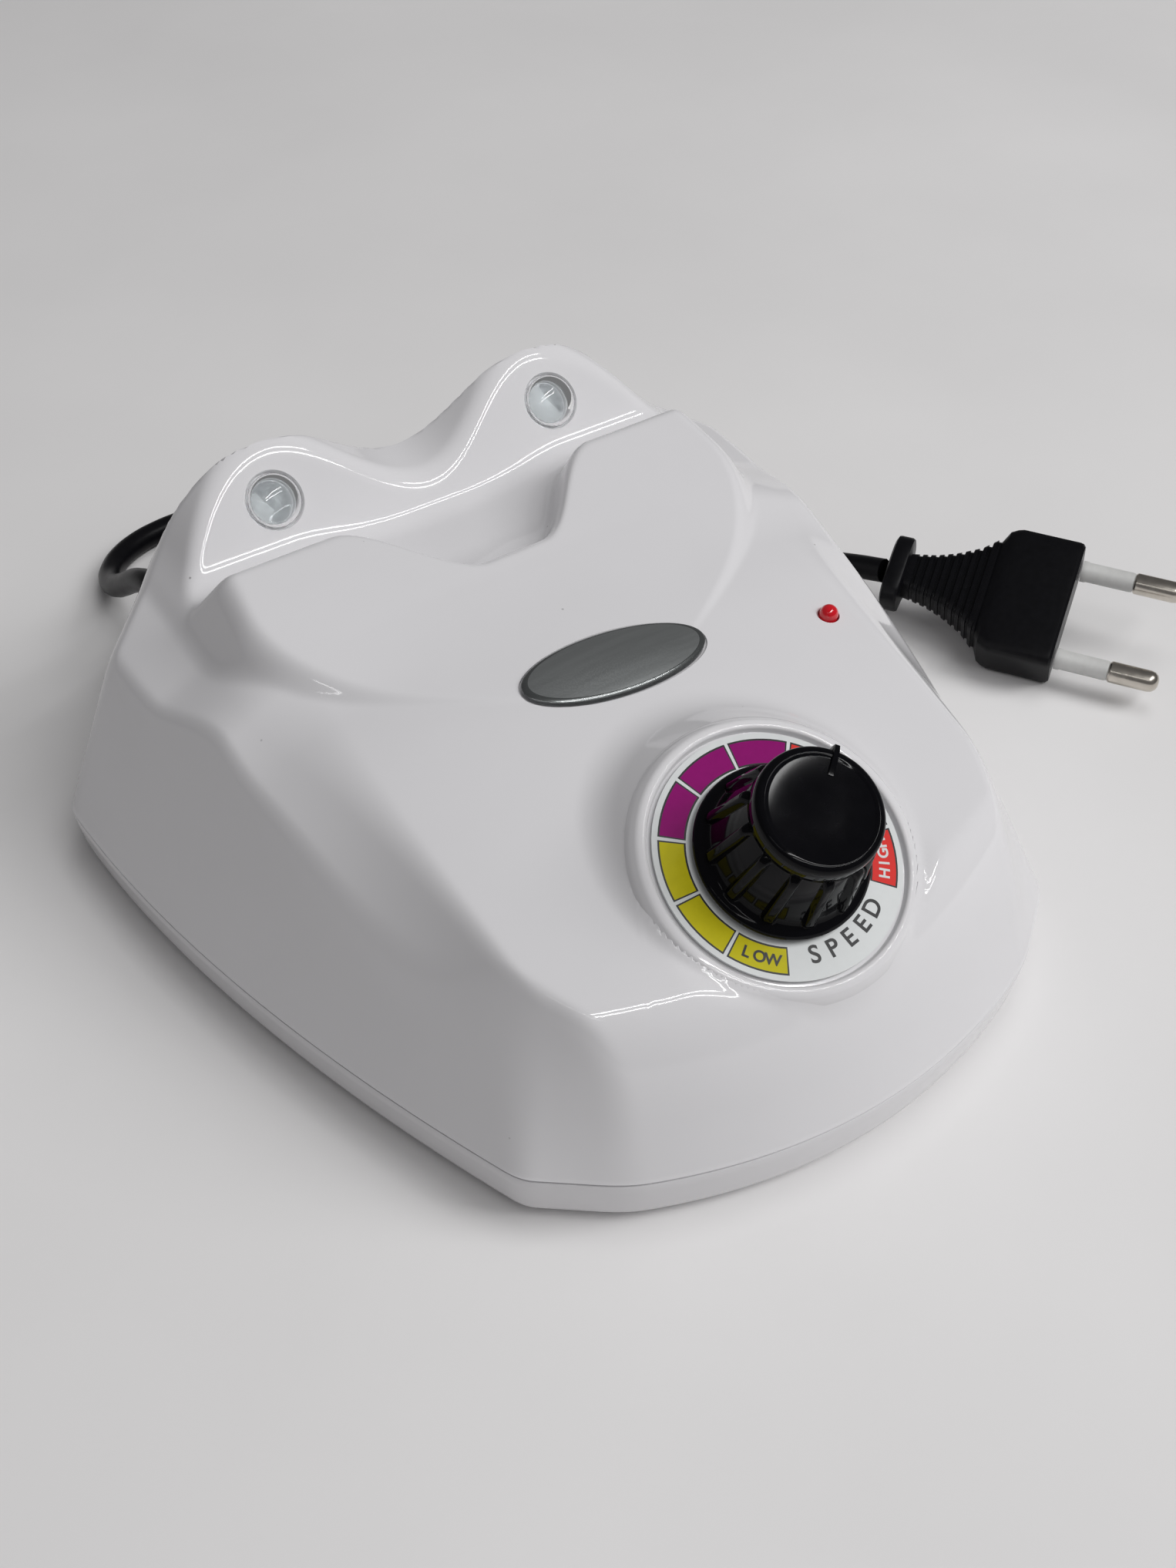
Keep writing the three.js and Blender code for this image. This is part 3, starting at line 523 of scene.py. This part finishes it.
def outline_of(height, directions):
    """How far from the middle a height field falls to the parting line, by bisection."""
    low, high = np.full(len(directions), 20.0), np.full(len(directions), 110.0)
    c, s = np.cos(directions), np.sin(directions)
    for _ in range(40):
        r = (low + high) / 2
        inside = height(r * c, MIDDLE + r * s) > PARTING
        low, high = np.where(inside, r, low), np.where(inside, high, r)
    return low


def rays(height, directions, reach, count, samples=1400):
    """Rings of points over a height field, evenly spaced along the surface of each ray from the middle."""
    t = np.linspace(0, 1, samples)
    r = reach[:, None] * t[None, :]
    c, s = np.cos(directions)[:, None], np.sin(directions)[:, None]
    z = height(r * c, MIDDLE + r * s)
    run = np.concatenate([np.zeros((len(reach), 1)), np.cumsum(np.hypot(np.diff(r), np.diff(z)), axis=1)], axis=1)
    rings = np.zeros((count, len(reach), 3))
    for i in range(len(reach)):
        want = np.linspace(0, run[i, -1], count + 1)[1:]
        ri = np.interp(want, run[i], r[i])
        rings[:, i, 0] = ri * math.cos(directions[i])
        rings[:, i, 1] = MIDDLE + ri * math.sin(directions[i])
        rings[:, i, 2] = np.interp(want, run[i], z[i])
    return rings


def inset(points, distance):
    """A closed plan outline moved inwards."""
    ahead, behind = np.roll(points, -1, axis=0), np.roll(points, 1, axis=0)
    d = ahead - behind
    n = np.stack([-d[:, 1], d[:, 0]], 1) / np.linalg.norm(d, axis=1)[:, None]
    return points + distance * n


def flat(points, z):
    return np.concatenate([points, np.full((len(points), 1), z)], 1)


directions = circle(480)
reach = outline_of(case_height, directions)
outline = np.stack([reach * np.cos(directions), MIDDLE + reach * np.sin(directions)], 1)
outer = rays(outer_height, directions, reach, 190)
outer[-1, :, 2] = PARTING + 0.2
reach_in = outline_of(inner_height, directions)
inner = rays(inner_height, directions, reach_in, 50, samples=500)[::-1]
rings = list(outer) + [flat(inset(outline, 0.12), PARTING + 0.04), flat(inset(outline, 0.4), PARTING)]
rings += [flat(inner[0, :, :2], PARTING)] + list(inner[1:])


def height_at(x, y, height=case_height):
    return float(height(np.array([float(x)]), np.array([float(y)]))[0])


v, f = capped(rings, (0, MIDDLE, height_at(0, MIDDLE, outer_height)), (0, MIDDLE, height_at(0, MIDDLE, inner_height)))
cover = make("case_top", v, f, WHITE, "case")
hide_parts("top_cover")


def rear_at(x, z):
    return at(x, REAR - (z - PARTING) * math.tan(RAD(LEAN)), z, LEAN - 90)


PLAQUE = at(0, -2, 45.9, 8, -6.4)
LED = at(36.5, -8, height_at(36.5, -8), 9)
BUMPERS = [at(side * 26.3, 55.8, height_at(26.3, 55.8), 49.5) for side in (-1, 1)]
SWITCHES = [("power_switch", -15), ("direction_switch", 6), ("mode_switch", 27)]


def oval(a, b, levels, sides=128):
    """A closed elliptical solid; levels are (growth, height) from the bottom to the top."""
    rings = [ring(a + g, b + g, h, circle(sides)) for g, h in levels]
    return capped(rings, (0, 0, levels[0][1]), (0, 0, levels[-1][1]))


# openings and seats in the top cover
cuts = []
v, f = oval(15.6, 6.5, [(0, -0.75), (0.05, -0.2), (0.5, 0.35), (0.5, 4)])
cuts.append((moved(v, PLAQUE), f))
v, f = lathe([(0, -6), (1.75, -6), (1.75, -0.15), (2.1, 0.25), (2.1, 3), (0, 3)], 48)
cuts.append((moved(v, LED), f))
for seat in BUMPERS:
    v, f = lathe([(0, -0.8), (4.65, -0.8), (4.7, -0.3), (5.3, 0.45), (5.3, 5), (0, 5)], 64)
    cuts.append((moved(v, seat), f))
for _, x in SWITCHES:
    v, f = box_mesh(-6.2, 6.2, -9.4, 9.4, -8, 3)
    cuts.append((moved(v, rear_at(x, 27)), f))
for x, z in ((-36, 32), (44.5, 27)):
    v, f = lathe([(0, -8), (4.2, -8), (4.2, 3), (0, 3)], 40)
    cuts.append((moved(v, rear_at(x, z)), f))
v, f = lathe([(0, -8), (5.3, -8), (5.3, 6), (0, 6)], 40)
cuts.append((moved(v, CORD_SEAT), f))
boolean(cover, cuts, "DIFFERENCE")

# ring of the dial, with the flat seat of its label
v, f = lathe([(0, -1.75), (18.6, -1.75), (21.9, -2.4), (21.75, -1.5), (21.2, -0.78), (20.85, -0.25), (20.6, 0.02),
              (20.3, 0.2), (19.9, 0.3), (19.55, 0.3), (19.3, 0.2), (19.15, 0.0), (19.05, -0.4), (18.9, -0.75),
              (0, -0.75)], 160)
make("dial_ring", moved(v, DIAL), f, WHITE, "case", sharp=50)

# ---------- bottom cover ----------
wall = [(3.6, PARTING - 0.3), (0.45, PARTING - 0.3), (0.12, PARTING - 0.36), (0.0, PARTING - 0.7), (0.2, 8.2),
        (0.55, 5.6), (0.85, 3.6), (1.1, 2.7), (1.6, 1.9), (2.3, 1.4), (3.2, 1.2)]
FLOOR_TOP, FLOOR_UNDER = 3.6, 1.2
half_way = outline * [0.5, 0.5] + [0, MIDDLE / 2]
rings = [flat(half_way, FLOOR_TOP), flat(inset(outline, 3.6), FLOOR_TOP)]
rings += [flat(inset(outline, d), z) for d, z in wall] + [flat(half_way, FLOOR_UNDER)]
v, f = capped(rings, (0, MIDDLE, FLOOR_TOP), (0, MIDDLE, FLOOR_UNDER))
base = make("case_bottom", v, f, WHITE, "case")
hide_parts("bottom_cover")
POSTS = [(sx * 50, y) for sx in (-1, 1) for y in (-24, 42)]
FEET = [(-41, -38), (41, -38), (-52, 53), (52, 53)]
posts, cuts = [], []
for x, y in POSTS:
    v, f = lathe([(0, 2.4), (5, 2.4), (5, 9.9), (0, 9.9)], 40)
    posts.append((v + [x, y, 0], f))
    v, f = lathe([(0, 0), (4.0, 0), (3.5, 1.7), (3.5, 6.4), (1.8, 6.4), (1.8, 14), (0, 14)], 40)
    cuts.append((v + [x, y, 0], f))
for x, y in FEET:
    v, f = lathe([(0, 0), (6.1, 0), (5.9, 1.6), (5.9, 2.3), (0, 2.3)], 48)
    cuts.append((v + [x, y, 0], f))
boolean(base, posts, "UNION")
boolean(base, cuts, "DIFFERENCE")

# ---------- bumpers, plaque, lamp ----------
for name, seat in zip(("bumper_left", "bumper_right"), BUMPERS):
    points = [(0, -0.6), (4.3, -0.6), (4.4, -0.45), (4.4, -0.1)] + dome_profile(4.4, -0.1, 2.2) + [(0, 2.1)]
    v, f = lathe(points, 80)
    dome = make(name + "_dome", moved(v, seat), f, CLEAR, "case", sharp=60)
    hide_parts(name)
LONG, WIDE, ROUND = 15.2, 6.1, 160
rim = [(-0.3, -0.6), (0, -0.45), (0, 0.25), (-0.35, 0.55)]
rings = [ring(LONG + g, WIDE + g, h, circle(ROUND)) for g, h in rim]
for k in range(1, 24):
    share = 1 - k / 24 - 0.35 / LONG
    height = 0.55 + 0.85 * (1 - (1 - k / 24) ** 2)
    rings.append(ring(LONG * share, (WIDE - 0.2) * share, height, circle(ROUND)))
v, f = capped(rings, (0, 0, -0.6), (0, 0, 1.4))
edge_faces = [1 if min(q) // ROUND < len(rim) and max(q) < len(v) - 1 else 0 for q in f]
plaque = make("plaque_oval", moved(v, PLAQUE), f, [SILVER, PLAQUE_EDGE], "case", edge_faces)
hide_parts("name_plaque")
points = [(0, -4.8), (1.45, -4.8), (1.5, -4.6), (1.5, 0.1)] + dome_profile(1.5, 0.1, 1.55) + [(0, 1.65)]
v, f = lathe(points, 48)
lamp = make("lamp_dome", moved(v, LED), f, RED, "case", sharp=60)
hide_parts("power_led")

# ---------- dial label: nine outlined segments and generic lettering ----------
R = 18.4
PITCH, START = 31.7, -28.2      # degrees from straight down, towards +X
radial = [3.9, 0.735 * R, 0.75 * R, 0.765 * R, 0.94 * R, 0.955 * R, R - 0.25, R]
angles = []
for k in range(9):
    a = START - PITCH * k
    angles += [(a - 0.55, "gap"), (a - 1.35, "edge")]
    angles += [(a - 1.35 - (PITCH - 3.25) * j / 8, k) for j in range(1, 9)]
    angles += [(a - PITCH + 1.1, "edge")]
rest = 360 - PITCH * 9
angles += [(START - PITCH * 9 - rest * j / 20, "free") for j in range(1, 21)]
label_v, label_f, label_m = [], [], []
edges = [(START, None)] + angles
for a, _ in edges[:-1]:
    phi = RAD(a - 90)
    for r in radial:
        label_v.append((r * math.cos(phi), r * math.sin(phi), 0.0))
n, m = len(edges) - 1, len(radial)
for i in range(n):
    kind = edges[i + 1][1]
    for j in range(m - 1):
        p, q = i * m + j, (i + 1) % n * m + j
        label_f.append((p + 1, q + 1, q, p))
        if j in (0, 5, 6) or kind in ("gap", "free"):
            label_m.append(0)
        elif kind == "edge" or j in (1, 4):
            label_m.append(1)
        else:
            label_m.append(2 + kind // 3)
low_v = [(x, y, -0.4) for x, y, _ in label_v]
total = len(label_v)
for i in range(n):
    for j in range(m - 1):
        p, q = total + i * m + j, total + (i + 1) % n * m + j
        label_f.append((p, q, q + 1, p + 1))
        label_m.append(0)
    for j, flip in ((0, False), (m - 1, True)):
        p, q = i * m + j, (i + 1) % n * m + j
        face = (p, q, total + q, total + p)
        label_f.append(face if flip else face[::-1])
        label_m.append(0)
label = make("dial_print", moved(label_v + low_v, DIAL), label_f, [LABEL, INK, YELLOW, MAGENTA, CORAL], "case",
             label_m)
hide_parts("dial_label")


def letters(text, middle, radius, size, spread, mat, name):
    """Letters along the dial, tops towards its middle, at an angle from straight down towards +X."""
    made = []
    for k, ch in enumerate(text):
        data = bpy.data.curves.new("letter", "FONT")
        data.body, data.size, data.align_x, data.align_y = ch, size * MM, "CENTER", "CENTER"
        data.extrude, data.offset = 0.012 * MM, 0.06 * MM
        phi = RAD(middle + spread * (k - (len(text) - 1) / 2))
        seat = DIAL.copy()
        seat.translation = seat.translation * MM
        spot = Matrix.Translation((radius * MM * math.sin(phi), -radius * MM * math.cos(phi), 0.02 * MM))
        o = bpy.data.objects.new("letter", data)
        SCENE.collection.objects.link(o)
        o.matrix_world = seat @ spot @ Matrix.Rotation(phi, 4, "Z")
        bpy.context.view_layer.update()
        mesh = bpy.data.meshes.new_from_object(o.evaluated_get(bpy.context.evaluated_depsgraph_get()))
        mesh.transform(o.matrix_world)
        bpy.data.objects.remove(o)
        made.append(mesh)
    bm = bmesh.new()
    for mesh in made:
        bm.from_mesh(mesh)
    joined = bpy.data.meshes.new(name)
    bm.to_mesh(joined)
    bm.free()
    joined.materials.append(mat)
    o = bpy.data.objects.new(name, joined)
    SCENE.collection.objects.link(o)
    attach(o, "case")


letters("SPEED", 9.3, 0.815 * R, 3.6, 11.5, INK, "lettering_speed")
letters("LOW", START - PITCH / 2, 0.85 * R, 2.3, 7.2, INK, "lettering_low")
letters("HIGH", START - PITCH * 8.5, 0.85 * R, 2.2, 5.6, LABEL, "lettering_high")

# ---------- knob ----------
KNOB = DIAL @ Matrix.Rotation(RAD(-47.4), 4, "Z")
RIBS = 12
theta = circle(360)
bump = np.clip(2.2 * np.cos(RIBS * theta) - 0.9, 0, 1) ** 0.7
flange = [(12.0, 0.85), (12.7, 0.88), (12.95, 1.1), (13.0, 1.4), (12.9, 1.8), (12.5, 2.05), (12.1, 2.2), (11.8, 2.35)]
rings = [ring(r, r, h, theta) for r, h in flange]
for h in (2.6, 3.0, 3.4, 4.5, 6, 8, 10, 11.4, 12.2, 12.7, 13.0, 13.2):
    rib = 0.95 * ease(h, 2.3, 3.2) * (1 - ease(h, 12.2, 13.25) ** 2)
    r = 12.0 - 0.22 * h + rib * bump - 0.35 * ease(h, 2.3, 3.4)
    rings.append(ring(r, r, h, theta))
cap = [(9.15, 13.35), (9.25, 13.6), (9.2, 15.6), (9.1, 16.15), (8.85, 16.55), (8.45, 16.75), (8.0, 16.8),
       (7.8, 16.76), (7.6, 16.7), (7.5, 16.66), (7.4, 16.65), (3, 16.65)]
rings += [ring(r, r, h, theta) for r, h in cap]
v, f = capped(rings, (0, 0, flange[0][1]), (0, 0, cap[-1][1]))
knob = make("knob_moulding", moved(v, KNOB), f, BLACK, "speed_control", sharp=50)
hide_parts("speed_knob", "potentiometer_shaft")
fin = []
for x, s in ((-0.55, 0), (-0.35, 1), (0.35, 1), (0.55, 0)):
    fin.append([(x, 5.0, 16.5 + 0.3 * s), (x, 8.6, 16.6 + 0.5 * s), (x, 9.6 + 0.3 * s, 16.1 + 0.4 * s),
                (x, 10.0 + 0.4 * s, 14.2), (x, 10.3 + 0.3 * s, 12.0), (x, 8.4, 12.0), (x, 5.0, 15.5)])
v = np.array([p for row in fin for p in row])
f = []
for a in range(3):
    for b in range(7):
        c = (b + 1) % 7
        f.append((a * 7 + b, a * 7 + c, (a + 1) * 7 + c, (a + 1) * 7 + b))
f += [tuple(range(6, -1, -1)), tuple(range(21, 28))]
make("knob_pointer", moved(v, KNOB), f, BLACK, "speed_control", sharp=40)

# ---------- rear panel and the pieces that keep their CAD shape ----------
for name, _ in SWITCHES:
    dressed(name + "_frame", BLACK, 0.45)
    dressed(name + "_rocker", BLACK, 0.4)
for name in ("handpiece_socket", "pedal_socket"):
    dressed(name, BLACK, 0.25)
    dressed(name + "_nut", STEEL, 0.2)
for name in ("foot_front_left", "foot_front_right", "foot_back_left", "foot_back_right"):
    dressed(name, RUBBER, 0.4)
PLAIN = {"cover_screw": STEEL, "potentiometer": ALUMINIUM, "circuit_board": BOARD, "board_screw": STEEL,
         "smoothing": CABLE, "regulator": ALUMINIUM, "speed_regulator": CABLE, "fuse": GLASS,
         "terminal_block": BOARD, "transformer_core": CORE, "transformer_winding": COPPER,
         "transformer_strap": STEEL, "strap_screw": STEEL}
for name, node in frame["nodes"].items():
    for start, mat in PLAIN.items():
        if name.startswith(start):
            node.data.materials.clear()
            node.data.materials.append(mat)
            node.data.polygons.foreach_set("material_index", [0] * len(node.data.polygons))

# ---------- floor, light ----------
FLOOR = material("floor_grey", (0.82, 0.81, 0.81), 0.55, scale=9, vary=0.03, bump=0.0, rough_vary=0.1)
floor = make("floor", [(-3000, -3000, 0), (3000, -3000, 0), (3000, 3000, 0), (-3000, 3000, 0)], [(0, 1, 2, 3)],
             FLOOR, None)
world = bpy.data.worlds.new("world")
SCENE.world = world
world.use_nodes = True
world.node_tree.nodes["Background"].inputs["Color"].default_value = (0.8, 0.79, 0.8, 1)
world.node_tree.nodes["Background"].inputs["Strength"].default_value = 0.145
SCENE.view_settings.view_transform = "Standard"


def area(name, place, aim, width, height, watts, color=(1, 1, 1)):
    data = bpy.data.lights.new(name, "AREA")
    data.shape, data.size, data.size_y, data.energy, data.color = "RECTANGLE", width, height, watts, color
    o = bpy.data.objects.new(name, data)
    o.location = place
    o.rotation_euler = (Vector(aim) - Vector(place)).to_track_quat("-Z", "Y").to_euler()
    SCENE.collection.objects.link(o)
    return o


area("key", (0.95, -0.8, 1.05), (0, 0, 0), 0.7, 0.7, 10).visible_glossy = False
area("top", (0.45, 0.1, 1.7), (0, 0, 0), 0.9, 0.9, 5).visible_glossy = False
area("lamp_strip_1", (0.3, -0.78, 1.5), (0, 0, 0.03), 1.5, 0.03, 5)
area("lamp_strip_2", (0.3, -1.05, 1.5), (0, 0, 0.03), 1.5, 0.03, 5)
area("lamp_strip_3", (-0.75, -0.75, 1.1), (0, 0, 0.03), 1.2, 0.02, 0.8)
